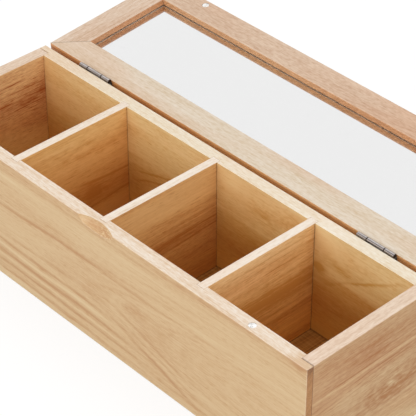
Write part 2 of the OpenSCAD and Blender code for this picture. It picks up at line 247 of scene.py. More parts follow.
def rubberwood(
    name,
    along,
    heart,
    upright,
    level,
    lean=0.0,
    lid=False,
    inside=None,
    deep=None,
    shadow_edge=None,
    figure=(),
    veins=(),
    seams=(),
    bands=0.4,
    streaks=0.5,
    fibres=0.5,
    pores=0.2,
    blush="#faeee6",
):
    """Solid rubberwood, planed and sanded, with one coat of thin satin oil.

    To the eye: faint growth bands that drift along the board and part round a figure, fine
    straight fibres, small dark pores that are dashes along the grain and dots across it, and
    a trace of pink in clouds. One solid pattern runs through each board, so that every face
    shows the cut that the real board would.

    along: axis of the grain. heart: the log's centre line beside the board. upright and level:
    pale, middle and dark colours of the standing faces and of those that face up or down; the
    level ones are paler, painted light as if lit from above.
    lean: slope of the grain in degrees. lid: whether the board is part of the open lid.
    inside: the way that its face in a compartment or in the window looks. deep: a warm tint,
    painted shade that darkens that face more towards the floor, and shadow_edge: the height below
    which that face is drawn darker, a painted shadow.
    figure: (spot, spread, how far the bands are pushed away, darkening, mottling, size of the
    mottles). veins: (spot, spread, slope in degrees, half width, darkening). seams: (normal,
    distance, half width, darkening of the standing faces and of the level ones), painted shade
    in inside corners and under the pane, dark joint lines elsewhere. bands, streaks, fibres and
    pores: how plainly each shows. blush: tint of the clouds. Lengths and places are in mm.
    """
    material, tree, shader = new_material(name)
    whole = add(tree, COORDINATES, out=PLACE)
    normal = add(tree, COORDINATES, out=FACING)
    here = add(tree, SPLIT, whole).node.outputs

    # The log's own frame, in mm: X along its heart, Z up in the closed lid too
    tilt, yaw = LID_OPEN if lid else 0, -90 if along == "Y" else 0
    turn = Euler((0, 0, math.radians(lean))).to_matrix()
    turn @= Euler((math.radians(tilt), 0, math.radians(yaw))).to_matrix()
    turn = turn.to_euler()
    start = [-distance for distance in heart]
    board = add(tree, "ShaderNodeMapping", whole, start, turn, (1 / MM,) * 3)
    facing = add(tree, "ShaderNodeMapping", {0: normal, 2: turn}, vector_type="VECTOR")
    facing = add(tree, SPLIT, facing).node.outputs

    # The log is a little crooked: a slow wave bends the grain by a few mm
    slow = add(tree, VECTOR, board, (1 / 190, 1 / 42, 1 / 42), operation="MULTIPLY")
    wave = add(tree, NOISE, {"Vector": slow, "Scale": 1.0, "Detail": 1.5}, out="Color")
    wave = add(tree, VECTOR, wave, (0, 5, 5), operation="MULTIPLY")
    board = add(tree, VECTOR, board, wave, operation="ADD")
    sides = add(tree, VECTOR, board, (0, 1, 1), operation="MULTIPLY")
    ring = add(tree, VECTOR, sides, operation="LENGTH", out="Value")
    ring, tone = figured(tree, whole, board, ring, figure)
    rings = add(tree, JOIN, add(tree, SPLIT, board), ring, 0.0)

    # Growth bands, streaks and fibres: where they lie, their length and width in mm, and weight.
    # Fibres are drawn about five times coarser than the real ones, so that they show
    grains = (
        (rings, 420, 13.0, 1.35 * bands),
        (rings, 150, 3.0, 0.85 * streaks),
        (rings, 60, 1.3, 0.45 * streaks),
        (board, 26, 0.8, 0.75 * fibres),
    )
    for lies, run, width, weight in grains:
        lies = add(tree, VECTOR, lies, (1 / run, 1 / width, 1 / width), operation="MULTIPLY")
        grain = add(tree, NOISE, {"Vector": lies, "Scale": 1.0, "Detail": 2.0, "Roughness": 0.55})
        grain = add(tree, MATH, grain, 0.5, operation="SUBTRACT")
        tone = add(tree, MATH, grain, weight, tone, operation="MULTIPLY_ADD")
    fibre = grain  # the last of them, and the finest
    bend = add(tree, VECTOR, board, (1 / 70, 1 / 30, 1 / 30), operation="MULTIPLY")
    bend = add(tree, NOISE, {"Vector": bend, "Scale": 1.0, "Detail": 2.0})
    bend = add(tree, MATH, bend, 0.5, operation="SUBTRACT")
    tone = veined(tree, whole, along, bend, fibre, tone, veins)

    # Open pores, 0.4 mm wide and 7 mm long on a face, dots on the end grain
    pore = add(tree, VECTOR, board, (1 / 7, 1 / 0.42, 1 / 0.42), operation="MULTIPLY")
    pore = add(tree, NOISE, {"Vector": pore, "Scale": 1.0, "Detail": 1.0})
    pore = add(tree, RANGE, pore, 0.6, 0.72, **SMOOTH)
    tone = add(tree, MATH, pore, pores, tone, operation="MULTIPLY_ADD")

    # Short flecks, which show most where the light falls flat on the wood
    fleck = add(tree, VECTOR, board, (1 / 4, 1 / 0.9, 1 / 0.9), operation="MULTIPLY")
    fleck = add(tree, NOISE, {"Vector": fleck, "Scale": 1.0, "Detail": 2.0})
    fleck = add(tree, MATH, fleck, 0.5, operation="SUBTRACT")
    flecked = add(tree, MATH, fleck, 0.8, tone, operation="MULTIPLY_ADD")
    tone = add(tree, MATH, fleck, 0.35, tone, operation="MULTIPLY_ADD")

    # Painted shadow: a compartment's wall is drawn darker below a wavy line at a given height
    wall = 1.0
    if inside:
        wall = add(tree, VECTOR, normal, inside, operation="DOT_PRODUCT", out="Value")
    if shadow_edge:
        shadowed = add(tree, MATH, bend, 6 * MM, here["Z"], operation="MULTIPLY_ADD")
        shadowed = add(tree, RANGE, shadowed, (shadow_edge + 1.5) * MM, (shadow_edge - 1.5) * MM, 0.0, 0.2)
        shadowed = add(tree, MATH, shadowed, wall, operation="MULTIPLY", use_clamp=True)
        tone = add(tree, MATH, shadowed, tone)

    # Painted light: faces that lie level take the paler level colours, as if lit from above; on
    # the box only its rims do
    standing = add(tree, RAMP, tone, stops=zip(TONES, upright))
    lying = add(tree, RAMP, flecked, stops=zip(TONES, level))
    flat = add(tree, MATH, facing["Z"], operation="ABSOLUTE")
    flat = add(tree, RANGE, flat, 0.55, 0.9, **SMOOTH)
    if not lid:
        rim = add(tree, RANGE, here["Z"], (BOX_H - 0.8) * MM, (BOX_H - 0.3) * MM)
        flat = add(tree, MATH, flat, rim, operation="MULTIPLY")
    colour = add(tree, MIX, {0: flat, MIX_A: standing, MIX_B: lying}, **PAINT)

    # Cut across the fibres the wood drinks more oil and turns darker
    cross = add(tree, MATH, facing["X"], operation="ABSOLUTE")
    cross = add(tree, RANGE, cross, 0.6, 0.9, **SMOOTH)
    butt = add(tree, RAMP, tone, stops=zip(TONES, END_GRAIN))
    colour = add(tree, MIX, {0: cross, MIX_A: colour, MIX_B: butt}, **PAINT)

    # A pink blush in clouds as long as a hand, and painted shade: a warm darker tint on the
    # compartments' walls, deeper towards the floor
    cloud = add(tree, VECTOR, board, (1 / 150, 1 / 36, 1 / 36), operation="MULTIPLY")
    cloud = add(tree, NOISE, {"Vector": cloud, "Scale": 1.0, "Detail": 2.0})
    cloud = add(tree, RANGE, cloud, 0.42, 0.66, **SMOOTH)
    tints = [(cloud, blush)]
    if deep:
        low = add(tree, RANGE, here["Z"], 88 * MM, 25 * MM)
        low = add(tree, MATH, low, wall, operation="MULTIPLY", use_clamp=True)
        tints.append((low, deep))
    for amount, tint in tints:
        colour = {0: amount, MIX_A: colour, MIX_B: linear(tint)}
        colour = add(tree, MIX, colour, blend_type="MULTIPLY", **PAINT)
    colour = seamed(tree, whole, wall, flat, colour, seams)

    # Handling burnishes the rounded edges
    worn = add(tree, "ShaderNodeAttribute", attribute_name="arris", out="Fac")
    worn = add(tree, MATH, worn, 0.2, operation="MULTIPLY")
    colour = add(tree, MIX, {0: worn, MIX_A: colour, MIX_B: linear(level[0])}, **PAINT)

    rough = add(tree, RANGE, fibre, -0.25, 0.25, 0.46, 0.62)
    rough = add(tree, MATH, worn, -0.3, rough, operation="MULTIPLY_ADD")
    relief = add(tree, MATH, pore, -1.5, fibre, operation="MULTIPLY_ADD")
    relief = {"Strength": 0.12, "Distance": 0.05 * MM, "Height": relief}
    bump = add(tree, "ShaderNodeBump", relief)
    wire(tree, shader, Base_Color=colour, Roughness=rough, Normal=bump)
    return material


def plywood():
    """Thin plywood with a sanded and oiled face veneer.

    To the eye: straight close lines along the veneer's grain, crossed by the short
    checks that the peeling knife leaves every millimetre or two.
    """
    material, tree, shader = new_material("plywood", Roughness=0.6)
    place = place_in_mm(tree)
    lines = add(tree, VECTOR, place, (1 / 1.1, 1 / 34, 1 / 4), operation="MULTIPLY")
    lines = add(tree, NOISE, {"Vector": lines, "Scale": 1.0, "Detail": 3.0})
    checks = add(tree, VECTOR, place, (1 / 16, 1 / 1.5, 1), operation="MULTIPLY")
    checks = add(tree, NOISE, {"Vector": checks, "Scale": 1.0, "Detail": 2.0})
    both = add(tree, MATH, lines, 0.65, operation="MULTIPLY")
    both = add(tree, MATH, checks, 0.35, both, operation="MULTIPLY_ADD")
    oiled = [(0.35, "#966225"), (0.5, "#b57f39"), (0.65, "#c9964f")]
    colour = add(tree, RAMP, both, stops=oiled)
    bump = add(tree, "ShaderNodeBump", {"Strength": 0.3, "Distance": 0.05 * MM, "Height": lines})
    wire(tree, shader, Base_Color=colour, Normal=bump)
    return material


def nickel_plate():
    """Nickel plating over polished magnet discs.

    To the eye: a near-white metal with faint cloudy stains; its turned edge is drawn darker,
    painted shade.
    """
    material, tree, shader = new_material("nickel_plate", Metallic=1.0)
    place = place_in_mm(tree)
    facing = add(tree, SPLIT, add(tree, COORDINATES, out=FACING)).node.outputs
    cloud = add(tree, NOISE, {"Vector": place, "Scale": 1 / 1.5, "Detail": 3.0})
    # Painted shade: the chamfered edge, away from the flat faces, is drawn darker
    face = add(tree, MATH, facing["Z"], operation="ABSOLUTE")
    face = add(tree, RANGE, face, 0.8, 0.98, -0.35, 0.0)
    cloud = add(tree, MATH, cloud, face)
    plated = [(0.15, "#6b6764"), (0.4, "#dcd9d5"), (0.6, "#f8f7f5")]
    colour = add(tree, RAMP, cloud, stops=plated)
    scuffs = add(tree, NOISE, {"Vector": place, "Scale": 2.5, "Detail": 2.0})
    rough = add(tree, RANGE, scuffs, 0.3, 0.7, 0.26, 0.42)
    wire(tree, shader, Base_Color=colour, Roughness=rough)
    return material


def hinge_steel():
    """Steel strip rolled into small butt hinges, plated in satin nickel.

    To the eye: a grey metal with fine drawn lines on its flat leaves. Painted highlight and shade:
    a bright band and dark bands along the barrel, dark rings where the knuckles meet, and dark
    ends.
    """
    material, tree, shader = new_material("hinge_steel", Metallic=1.0)
    place = place_in_mm(tree)
    here = add(tree, SPLIT, place).node.outputs
    facing = add(tree, SPLIT, add(tree, COORDINATES, out=FACING)).node.outputs
    cloud = add(tree, NOISE, {"Vector": place, "Scale": 1 / 3, "Detail": 3.0})
    lines = add(tree, VECTOR, place, (1 / 6, 3, 3), operation="MULTIPLY")
    lines = add(tree, NOISE, {"Vector": lines, "Scale": 1.0, "Detail": 2.0})

    # The place round the barrel, from 0 at the side of the open lid over the top to 0.5 in front
    rise = add(tree, MATH, here["Z"], PIN_Z, operation="SUBTRACT")
    angle = add(tree, MATH, rise, here["Y"], operation="ARCTAN2")
    angle = add(tree, MATH, angle, 1 / (2 * math.pi), operation="MULTIPLY")
    angle = add(tree, MATH, lines, 0.03, angle, operation="MULTIPLY_ADD")
    # Painted highlight and shade round the barrel: a bright band over its top, dark bands below
    barrel_shine_and_shade = [
        (0.0, "#8f8b88"),
        (0.2, "#b9b3b1"),
        (0.31, "#d9d2d0"),
        (0.35, "#6b6160"),
        (0.385, "#6b6160"),
        (0.415, "#bdb4b1"),
        (0.45, "#a79d98"),
        (0.49, "#6a5a50"),
    ]
    colour = add(tree, RAMP, angle, stops=barrel_shine_and_shade)

    # Duller grey clouds, more of them on the left hinge
    stain = add(tree, RANGE, cloud, 0.35, 0.65, 0.45, 0.0)
    duller = add(tree, RANGE, here["X"], -HINGE_X, HINGE_X, 0.35, 0.0)
    stain = add(tree, MATH, stain, duller)
    colour = add(tree, MIX, {0: stain, MIX_A: colour, MIX_B: linear("#8f8783")}, **PAINT)

    # Painted shade: dark within 0.6 mm of a joint between two knuckles, and on the ends
    joint = here["X"]
    for distance in (HINGE_X, KNUCKLE_JOINT):
        joint = add(tree, MATH, joint, operation="ABSOLUTE")
        joint = add(tree, MATH, joint, distance, operation="SUBTRACT")
    joint = add(tree, MATH, joint, operation="ABSOLUTE")
    joint = add(tree, RANGE, joint, 0.25, 0.6, 0.9, 0.0)
    ends = add(tree, MATH, facing["X"], operation="ABSOLUTE")
    ends = add(tree, RANGE, ends, 0.6, 0.9, 0.0, 0.75)
    joint_and_end_shade = add(tree, MATH, joint, ends, operation="MAXIMUM")
    colour = add(tree, MIX, {0: joint_and_end_shade, MIX_A: colour, MIX_B: linear("#3b302a")}, **PAINT)
    rough = add(tree, RANGE, lines, 0.3, 0.7, 0.22, 0.36)
    bump = add(tree, "ShaderNodeBump", {"Strength": 0.15, "Distance": 0.01 * MM, "Height": lines})
    wire(tree, shader, Base_Color=colour, Roughness=rough, Normal=bump)
    return material


def window_glass():
    """Clear float glass, 2 mm thick, with ground edges.

    To the eye: a faint cool grey over whatever lies behind, a smooth unbroken reflection,
    and a slight waviness that shows only in that reflection.
    """
    clear = {"Roughness": 0.0, "IOR": 1.5, "Transmission_Weight": 1.0}
    material, tree, shader = new_material("window_glass", Base_Color=linear("#ececec"), **clear)
    place = add(tree, COORDINATES, out=PLACE)
    wave = add(tree, NOISE, {"Vector": place, "Scale": 1 / (120 * MM), "Detail": 0.0})
    bump = add(tree, "ShaderNodeBump", {"Strength": 0.05, "Distance": 0.1 * MM, "Height": wave})
    wire(tree, shader, Normal=bump)
    return material


# ---- Making pieces ----

WELD = 1e-6  # the model's loose triangles meet to within this, in metres
FLUSH = math.radians(0.5)  # faces that meet at less than this are one
SHARP = math.radians(30)  # edges that turn by more than this are rounded over
CREASE = math.radians(40)  # edges that turn by more than this stay crisp when shaded
TURNED_STEPS = 48  # sides of a turned piece


def link(mesh, name):
    piece = bpy.data.objects.new(name, mesh)
    bpy.context.scene.collection.objects.link(piece)
    return piece


def mesh_from(bm, name):
    mesh = bpy.data.meshes.new(name)
    bm.to_mesh(mesh)
    bm.free()
    return mesh


def weighted(piece):
    """Shades the rounded edges smoothly while the wide faces stay flat."""
    for polygon in piece.data.polygons:
        polygon.use_smooth = True
    piece.data.set_sharp_from_angle(angle=CREASE)
    modifier = piece.modifiers.new("weighted_normals", "WEIGHTED_NORMAL")
    modifier.keep_sharp = True
    return settle(piece)


def settle(piece):
    """Turns a piece with modifiers into a plain mesh."""
    bpy.context.view_layer.update()
    evaluated = piece.evaluated_get(bpy.context.evaluated_depsgraph_get())
    mesh = bpy.data.meshes.new_from_object(evaluated)
    piece.modifiers.clear()
    piece.data = mesh
    return piece


def rounded_copy(node, name, radius, shortest, segments=3):
    """The model's own solid with its corners softened by sandpaper: each sharp edge longer than
    shortest is rounded over, both in mm."""
    bm = bmesh.new()
    bm.from_mesh(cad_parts[node].data)
    bmesh.ops.remove_doubles(bm, verts=bm.verts, dist=WELD)
    bmesh.ops.dissolve_limit(bm, angle_limit=FLUSH, verts=bm.verts, edges=bm.edges)
    sharp = [
        edge
        for edge in bm.edges
        if len(edge.link_faces) == 2
        and edge.calc_face_angle() > SHARP
        and edge.calc_length() > shortest * MM
    ]
    arris = bm.faces.layers.float.new("arris")
    rounded = bmesh.ops.bevel(
        bm,
        geom=sharp,
        offset=radius * MM,
        offset_type="OFFSET",
        segments=segments,
        profile=0.5,
        affect="EDGES",
        clamp_overlap=False,
    )
    for face in rounded["faces"]:
        face[arris] = 1.0
    return weighted(link(mesh_from(bm, name), name))


def turned(name, profile, place):
    """A round piece turned from a profile of (radius, height) points in mm, set at a place
    (a matrix in metres)."""
    bm = bmesh.new()
    rings = []
    for radius, height in profile:
        ring = []
        for i in range(TURNED_STEPS if radius else 1):
            a = 2 * math.pi * i / TURNED_STEPS
            spot = mm(radius * math.cos(a), radius * math.sin(a), height)
            ring.append(bm.verts.new(place @ spot))
        rings.append(ring)
    for lower, upper in zip(rings, rings[1:]):
        for i in range(TURNED_STEPS):
            j = (i + 1) % TURNED_STEPS
            around = ((lower, i), (lower, j), (upper, j), (upper, i))
            corners = [circle[k % len(circle)] for circle, k in around]
            bm.faces.new(list(dict.fromkeys(corners)))  # at a pole two corners are one
    bmesh.ops.recalc_face_normals(bm, faces=bm.faces)
    return weighted(link(mesh_from(bm, name), name))


def mirrored(half_profile, middle):
    """A profile completed with its mirror image above the middle height."""
    return half_profile + [(r, 2 * middle - z) for r, z in reversed(half_profile)]


def finish_piece(piece, body, material, slot, *nodes):
    piece.data.materials.clear()
    piece.data.materials.append(material)
    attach(piece, body)
    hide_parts(*nodes)


# ---- Wooden boards ----

# Colours are (pale, middle, dark)
# The level colours are paler than the standing ones: painted light from above
RIM = ("#efe7d8", "#e5d7c0", "#d4ba95")
FRONT_RIM = ("#ede3d6", "#e3d0bb", "#d2b28f")
DIVIDER_RIM = ("#eee3d6", "#e8d9c8", "#d8c0a6")
PINK_RIM = ("#e9d8c7", "#dfc9b3", "#ccae93")
MILD_DEPTH_SHADE = "#fff0c8"  # painted shade: warm darker tints of a compartment's wall towards its floor, milder and stronger
STRONG_DEPTH_SHADE = "#ffe4a4"
BAY_LEFT = (-170.5, -83.75, 3.0, 89.75)
INNER_BACK = -11.5
FLOOR_TOP = 12.0
SIDEWAYS, FORWARDS, UPWARDS = (1, 0, 0), (0, 1, 0), (0, 0, 1)
# Painted shade: dark lines in the compartments' inside corners, along their floor and where the
# boards meet the back wall
CORNER_SHADE_LINES = [(SIDEWAYS, x, 0.8, dark, 0) for x, dark in zip(BAY_LEFT, (0.2, 0.35, 0.3, 0.6))]
FLOOR_SHADE_LINE = (UPWARDS, FLOOR_TOP, 1.0, 0.6, 0)
HOUSED_SHADE_LINES = [(FORWARDS, INNER_BACK, 0.8, 0.2, 0), FLOOR_SHADE_LINE]
LIP_LINE = (FORWARDS, -104.6, 0.7, 0.0, 0.5)


def open_way(*way):
    """A way on the closed lid as it lies on the open lid."""
    return tuple(lid_turn().to_3x3() @ Vector(way).normalized())


def mitre(slope, distance):
    """The seam of a mitred corner of the lid, on the line x + slope * y = distance when closed."""
    across = open_way(1, slope, 0)
    return (across, distance / math.sqrt(2) + across[2] * PIN_Z, 0.5, 0.15, 0.45)


LID_DOWN = open_way(0, 0, 1)
# Painted shade on the frame's inside faces, along the line where the pane's lower face meets it
PANE_SHADE_LINE = (LID_DOWN, PANE_Z - PIN_Z + LID_DOWN[2] * PIN_Z, 0.6, 0.8, 0)
REAR_MITRES = [mitre(1, -182), mitre(-1, 182)]
FRONT_MITRES = [mitre(-1, -70), mitre(1, 70)]
BOARDS = {
    "front_panel": dict(
        along="X",
        heart=(0, -50, 46),
        lean=0.4,
        upright=("#dbbf94", "#d3b286", "#be9062"),
        level=FRONT_RIM,
        blush="#ffffff",
        bands=0.3,
        streaks=0.7,
        fibres=0.5,
        figure=(
            ((172, -110, 45), (120, 60, 31), 15, 0.0, 0.0, 5),
            ((34, -110, 51), (14, 20, 6), 3, 0.05, 0.5, 3),
            ((-60, -110, 43), (85, 60, 13), 0, 0.12, 0.1, 5),
            ((-55, -110, 58), (60, 60, 4), 0, 0.14, 0.1, 5),
            ((60, -110, 77), (200, 60, 9), 0, -0.08, 0.0, 5),
            ((0, -110, 93), (260, 60, 4), 0, 0.16, 0.2, 6),
            ((8, -108, 93), (8, 6, 3), 0, 0.08, 2.0, 1.0),
            ((174, -107, 97), (8, 8, 4), 0, 0.5, 0.6, 3),
        ),
        veins=(
            ((-45, -110, 62), (62, 30, 30), 2.0, 2.4, 0.36),
            ((60, -110, 64), (70, 30, 30), 1.5, 2.0, 0.18),
            ((-60, -110, 38), (50, 30, 30), 0.5, 2.4, 0.2),
            ((-55, -110, 30.5), (65, 30, 30), -1.5, 2.2, 0.38),
            ((-60, -110, 26), (65, 30, 30), -0.8, 2.0, -0.45),
            ((-60, -110, 21), (75, 30, 30), -0.8, 2.2, 0.34),
            ((-50, -110, 17), (75, 30, 30), -0.8, 1.6, -0.3),
            ((-50, -110, 13), (75, 30, 30), -0.8, 2.0, 0.32),
            ((-50, -110, 6), (75, 30, 30), -0.8, 2.2, 0.32),
            ((57, -110, 17), (38, 30, 22), -17, 2.6, 0.34),
            ((54, -110, 24), (38, 30, 22), -16, 1.8, 0.2),
            ((48, -110, 32), (38, 30, 22), -17, 2.4, 0.3),
        ),
    ),
    "back_panel": dict(
        along="X",
        heart=(40, 60, 30),
        upright=("#edd29b", "#e5c58c", "#cb9b50"),
        level=RIM,
        fibres=0.35,
        inside=(0, -1, 0),
        deep=STRONG_DEPTH_SHADE,
        shadow_edge=62,
        bands=0.4,
        streaks=0.3,
        figure=(
            ((60, INNER_BACK, 40), (110, 20, 20), 0, 0.16, 0.2, 6),
            ((0, INNER_BACK, 14), (400, 20, 20), 0, -0.3, 0.0, 5),
            ((-55, INNER_BACK, 38), (30, 20, 20), 12, -0.14, 0.2, 5),
            ((46, INNER_BACK, 80), (13, 20, 9), 0, 0.1, 0.9, 3),
            ((72, INNER_BACK, 84), (10, 20, 9), 13, 0.15, 0.6, 3),
            ((17, INNER_BACK, 88), (10, 20, 8), 0, -0.2, 0.0, 5),
            ((101, INNER_BACK, 90), (11, 20, 9), 8, -0.25, 0.3, 4),
            ((128, INNER_BACK, 82), (14, 20, 8), 0, 0.06, 0.4, 4),
            ((94, INNER_BACK, 66), (5, 20, 3), 0, 0.7, 0.5, 2),
        ),
        veins=(
            ((136, INNER_BACK, 76), (26, 20, 26), 30, 1.8, 0.3),
            ((112, INNER_BACK, 73), (11, 20, 7), -20, 6.0, 0.2),
            ((-55, INNER_BACK, 55), (20, 20, 20), 18, 1.3, 0.36),
            ((-57, INNER_BACK, 48), (20, 20, 20), 20, 1.2, 0.3),
        ),
        # painted shade along the compartments' corners and floor
        seams=CORNER_SHADE_LINES + [(UPWARDS, FLOOR_TOP, 1.8, 0.7, 0)],
    ),
    "left_end_panel": dict(
        along="Y",
        heart=(10, -90, 60),
        upright=("#fadba4", "#e1b47d", "#a25017"),
        level=("#e5d2c0", "#dac1a9", "#c7a78b"),
        inside=(1, 0, 0),
        deep=MILD_DEPTH_SHADE,
        bands=0.5,
        streaks=0.8,
        figure=(
            ((-170, -50, 68), (20, 90, 7), 0, 0.12, 0.4, 3),
            ((-170, -50, 28), (20, 90, 14), 0, -0.3, 0.0, 3),
        ),
        veins=(
            ((-170, -48, 69.5), (20, 5, 9), 0, 0.7, 0.8),
            ((-170, -17, 69.5), (20, 6, 9), 0, 0.7, 0.8),
            ((-170, -40, 77), (20, 24, 9), 1, 0.7, 0.25),
            ((-170, -25, 62), (20, 16, 9), -1, 0.7, 0.3),
            ((-170, -35, 85), (20, 20, 9), 1, 0.7, 0.22),
        ),
        seams=HOUSED_SHADE_LINES + [LIP_LINE],
    ),
    "right_end_panel": dict(
        along="Y",
        heart=(-20, 120, 84),
        upright=("#e0c89a", "#caa579", "#ad7541"),
        level=PINK_RIM,
        inside=(-1, 0, 0),
        deep=MILD_DEPTH_SHADE,
        bands=0.4,
        streaks=0.6,
        figure=(
            ((180, -45, 82), (60, 45, 15), 0, 0.22, 0.35, 2.5),
            ((180, -92, 80), (60, 20, 8), 0, -0.1, 0.2, 3),
            ((180, -50, 54), (60, 90, 9), 0, -0.1, 0.1, 5),
            ((180, -38, 40), (60, 30, 12), 3, 0.25, 1.2, 3),
            ((180, -30, 12), (60, 40, 9), 0, -0.1, 0.0, 5),
        ),
        veins=(
            ((180, -60, 66.5), (60, 90, 30), 0.5, 2.0, -0.22),
            ((180, -60, 62.5), (60, 90, 30), 3.0, 1.0, 0.2),
            ((180, -60, 59.5), (60, 90, 30), 4.0, 0.9, 0.16),
            ((180, -60, 56.5), (60, 90, 30), 4.0, 0.8, 0.12),
            ((180, -55, 75), (60, 30, 30), 0.5, 0.9, 0.18),
            ((180, -60, 69), (60, 60, 30), 0.5, 0.8, 0.2),
            ((180, -75, 84), (60, 25, 30), 0.5, 0.8, 0.14),
        ),
        seams=HOUSED_SHADE_LINES + [LIP_LINE],
    ),
    "left_divider": dict(
        along="Y",
        heart=(0, 30, 20),
        upright=("#f4c98c", "#e8b875", "#cd9047"),
        level=DIVIDER_RIM,
        deep=MILD_DEPTH_SHADE,
        bands=0.5,
        streaks=0.5,
        figure=(
            ((-84, -55, 80), (20, 26, 14), 0, 0.0, 0.7, 4),
            ((-84, -20, 80), (20, 14, 16), 0, 0.0, 0.5, 3),
            ((-84, -40, 46), (20, 60, 16), -6, 0.26, 0.2, 4),
            ((-84, -40, 20), (20, 60, 10), 0, -0.3, 0.0, 4),
            ((-84, -42, 43), (20, 8, 5), 7, 0.1, 0.2, 3),
        ),
        veins=(
            ((-84, -30, 51), (20, 25, 9), -5, 1.5, 0.28),
            ((-84, -30, 33), (20, 25, 9), 6, 1.4, 0.26),
        ),
        seams=HOUSED_SHADE_LINES,
    ),
    "middle_divider": dict(
        along="Y",
        heart=(15, 80, 10),
        lean=1.0,
        upright=("#e4b77b", "#d8a76b", "#b27235"),
        level=DIVIDER_RIM,
        deep=MILD_DEPTH_SHADE,
        bands=0.5,
        streaks=0.7,
        figure=(((3, -50, 52), (20, 80, 9), 0, 0.16, 0.2, 4),),
        veins=(
            ((3, -27, 76), (20, 8, 9), 2, 0.6, 0.4),
            ((3, -62, 73), (20, 14, 9), -2, 0.6, 0.25),
            ((3, -35, 55), (20, 30, 9), 2, 0.9, 0.24),
            ((3, -35, 49), (20, 30, 9), 3, 0.9, 0.24),
        ),
        seams=HOUSED_SHADE_LINES,
    ),
    "right_divider": dict(
        along="Y",
        heart=(30, -50, 90),
        upright=("#fcd7a2", "#ecbf85", "#c68b46"),
        level=DIVIDER_RIM,
        deep=STRONG_DEPTH_SHADE,
        bands=0.5,
        streaks=0.6,
        figure=(
            ((90, -50, 83), (20, 90, 9), 0, 0.12, 0.2, 5),
            ((90, -50, 55), (20, 90, 19), 0, 0.34, 0.2, 5),
        ),
        veins=(
            ((90, -45, 90), (20, 34, 9), 1, 0.8, 0.24),
            ((90, -45, 85), (20, 34, 9), 1, 0.8, 0.2),
            ((90, -45, 79), (20, 34, 9), 1, 0.8, 0.22),
            ((90, -50, 62), (20, 30, 9), 2, 1.0, 0.14),
        ),
        seams=HOUSED_SHADE_LINES,
    ),
    "lid_front_rail": dict(
        along="X",
        heart=(0, 70, 12),
        upright=("#dbab7e", "#c99567", "#a8734a"),
        level=("#dcc3ab", "#ceb197", "#b89376"),
        lid=True,
        inside=open_way(0, 1, 0),
        seams=FRONT_MITRES + [PANE_SHADE_LINE],
        bands=0.25,
        streaks=0.3,
        fibres=0.6,
        figure=(((0, 100, 106), (260, 40, 30), 0, 0.0, 0.4, 2),),
    ),
    "lid_rear_rail": dict(
        along="X",
        heart=(60, 50, -20),
        upright=("#e6b681", "#dba56c", "#b98148"),
        level=("#dfd3c4", "#d6c6b1", "#c6af8f"),
        lid=True,
        inside=open_way(0, -1, 0),
        seams=REAR_MITRES + [PANE_SHADE_LINE],
        bands=0.25,
        streaks=0.4,
        fibres=0.7,
        pores=0.3,
        figure=(((-40, 19, 98), (160, 3, 30), 0, 0.12, 0.4, 3),),
    ),
    "lid_left_stile": dict(
        along="Y",
        heart=(10, -40, 25),
        upright=("#d3a276", "#c18b5e", "#9c6a43"),
        level=("#e1d4c4", "#d2bca6", "#bb9d7e"),
        lid=True,
        inside=SIDEWAYS,
        seams=[REAR_MITRES[0], FRONT_MITRES[0], PANE_SHADE_LINE],
        streaks=0.7,
    ),
    "lid_right_stile": dict(
        along="Y",
        heart=(-10, 60, 15),
        upright=("#d3a276", "#c18b5e", "#9c6a43"),
        level=("#e1d4c4", "#d2bca6", "#bb9d7e"),
        lid=True,
        inside=(-1, 0, 0),
        seams=[REAR_MITRES[1], FRONT_MITRES[1], PANE_SHADE_LINE],
        streaks=0.7,
    ),
}
ARRIS = 0.12  # radius that the sandpaper leaves on the wood's corners
FLOOR_ARRIS = 0.2
PANE_ARRIS = 0.25
SHORTEST_EDGE = 1.5  # of those that are rounded on wood and glass
GLUED_END = -104.0  # the end panels' front ends lie beyond this
GLUE = 0.25  # of glue and dust, in wood's own colour, narrows the joint behind the front's lips


def make_boards():
    for node, look in BOARDS.items():
        piece = rounded_copy(node, node + "_board", ARRIS, SHORTEST_EDGE)
        if node in ("left_end_panel", "right_end_panel"):
            for vertex in piece.data.vertices:
                if vertex.co.y < GLUED_END * MM:
                    vertex.co.y -= GLUE * MM
        body = "lid" if look.get("lid") else "box"
        finish_piece(piece, body, rubberwood("rubberwood_" + node, **look), "rubberwood", node)
    floor = rounded_copy("floor_panel", "floor_sheet", FLOOR_ARRIS, SHORTEST_EDGE)
    finish_piece(floor, "box", plywood(), "plywood", "floor_panel")


def make_pane():
    pane = rounded_copy("lid_pane", "window_pane", PANE_ARRIS, SHORTEST_EDGE, 2)
    pane.visible_shadow = False  # light falls through it on the frame below
    finish_piece(pane, "lid", window_glass(), "clear_pane", "lid_pane")


# ---- Magnets and hinges ----

MAGNET_CHAMFER = 0.4
PIN_CHAMFER = 0.3
STRIP_ARRIS = 0.1  # radius on the hinges' stamped edges
STRIP_EDGE = 0.25  # shortest edge that is rounded on a hinge


def make_magnets():
    nickel = nickel_plate()
    r, c = MAGNET_D / 2, MAGNET_CHAMFER
    lower = [(0, 0), (r - c, 0), (r - c * 0.3, c * 0.3), (r, c)]
    profile = mirrored(lower, MAGNET_T / 2)
    for side in ("left", "right"):
        for body in ("box", "lid"):
            node = f"{side}_{body}_magnet"
            low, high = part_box(node)
            middle = Matrix.Translation((low + high) / 2)
            turn = lid_turn().to_3x3().to_4x4() if body == "lid" else Matrix()
            place = middle @ turn @ Matrix.Translation(mm(0, 0, -MAGNET_T / 2))
            finish_piece(turned(node + "_disc", profile, place), body, nickel, "nickel", node)


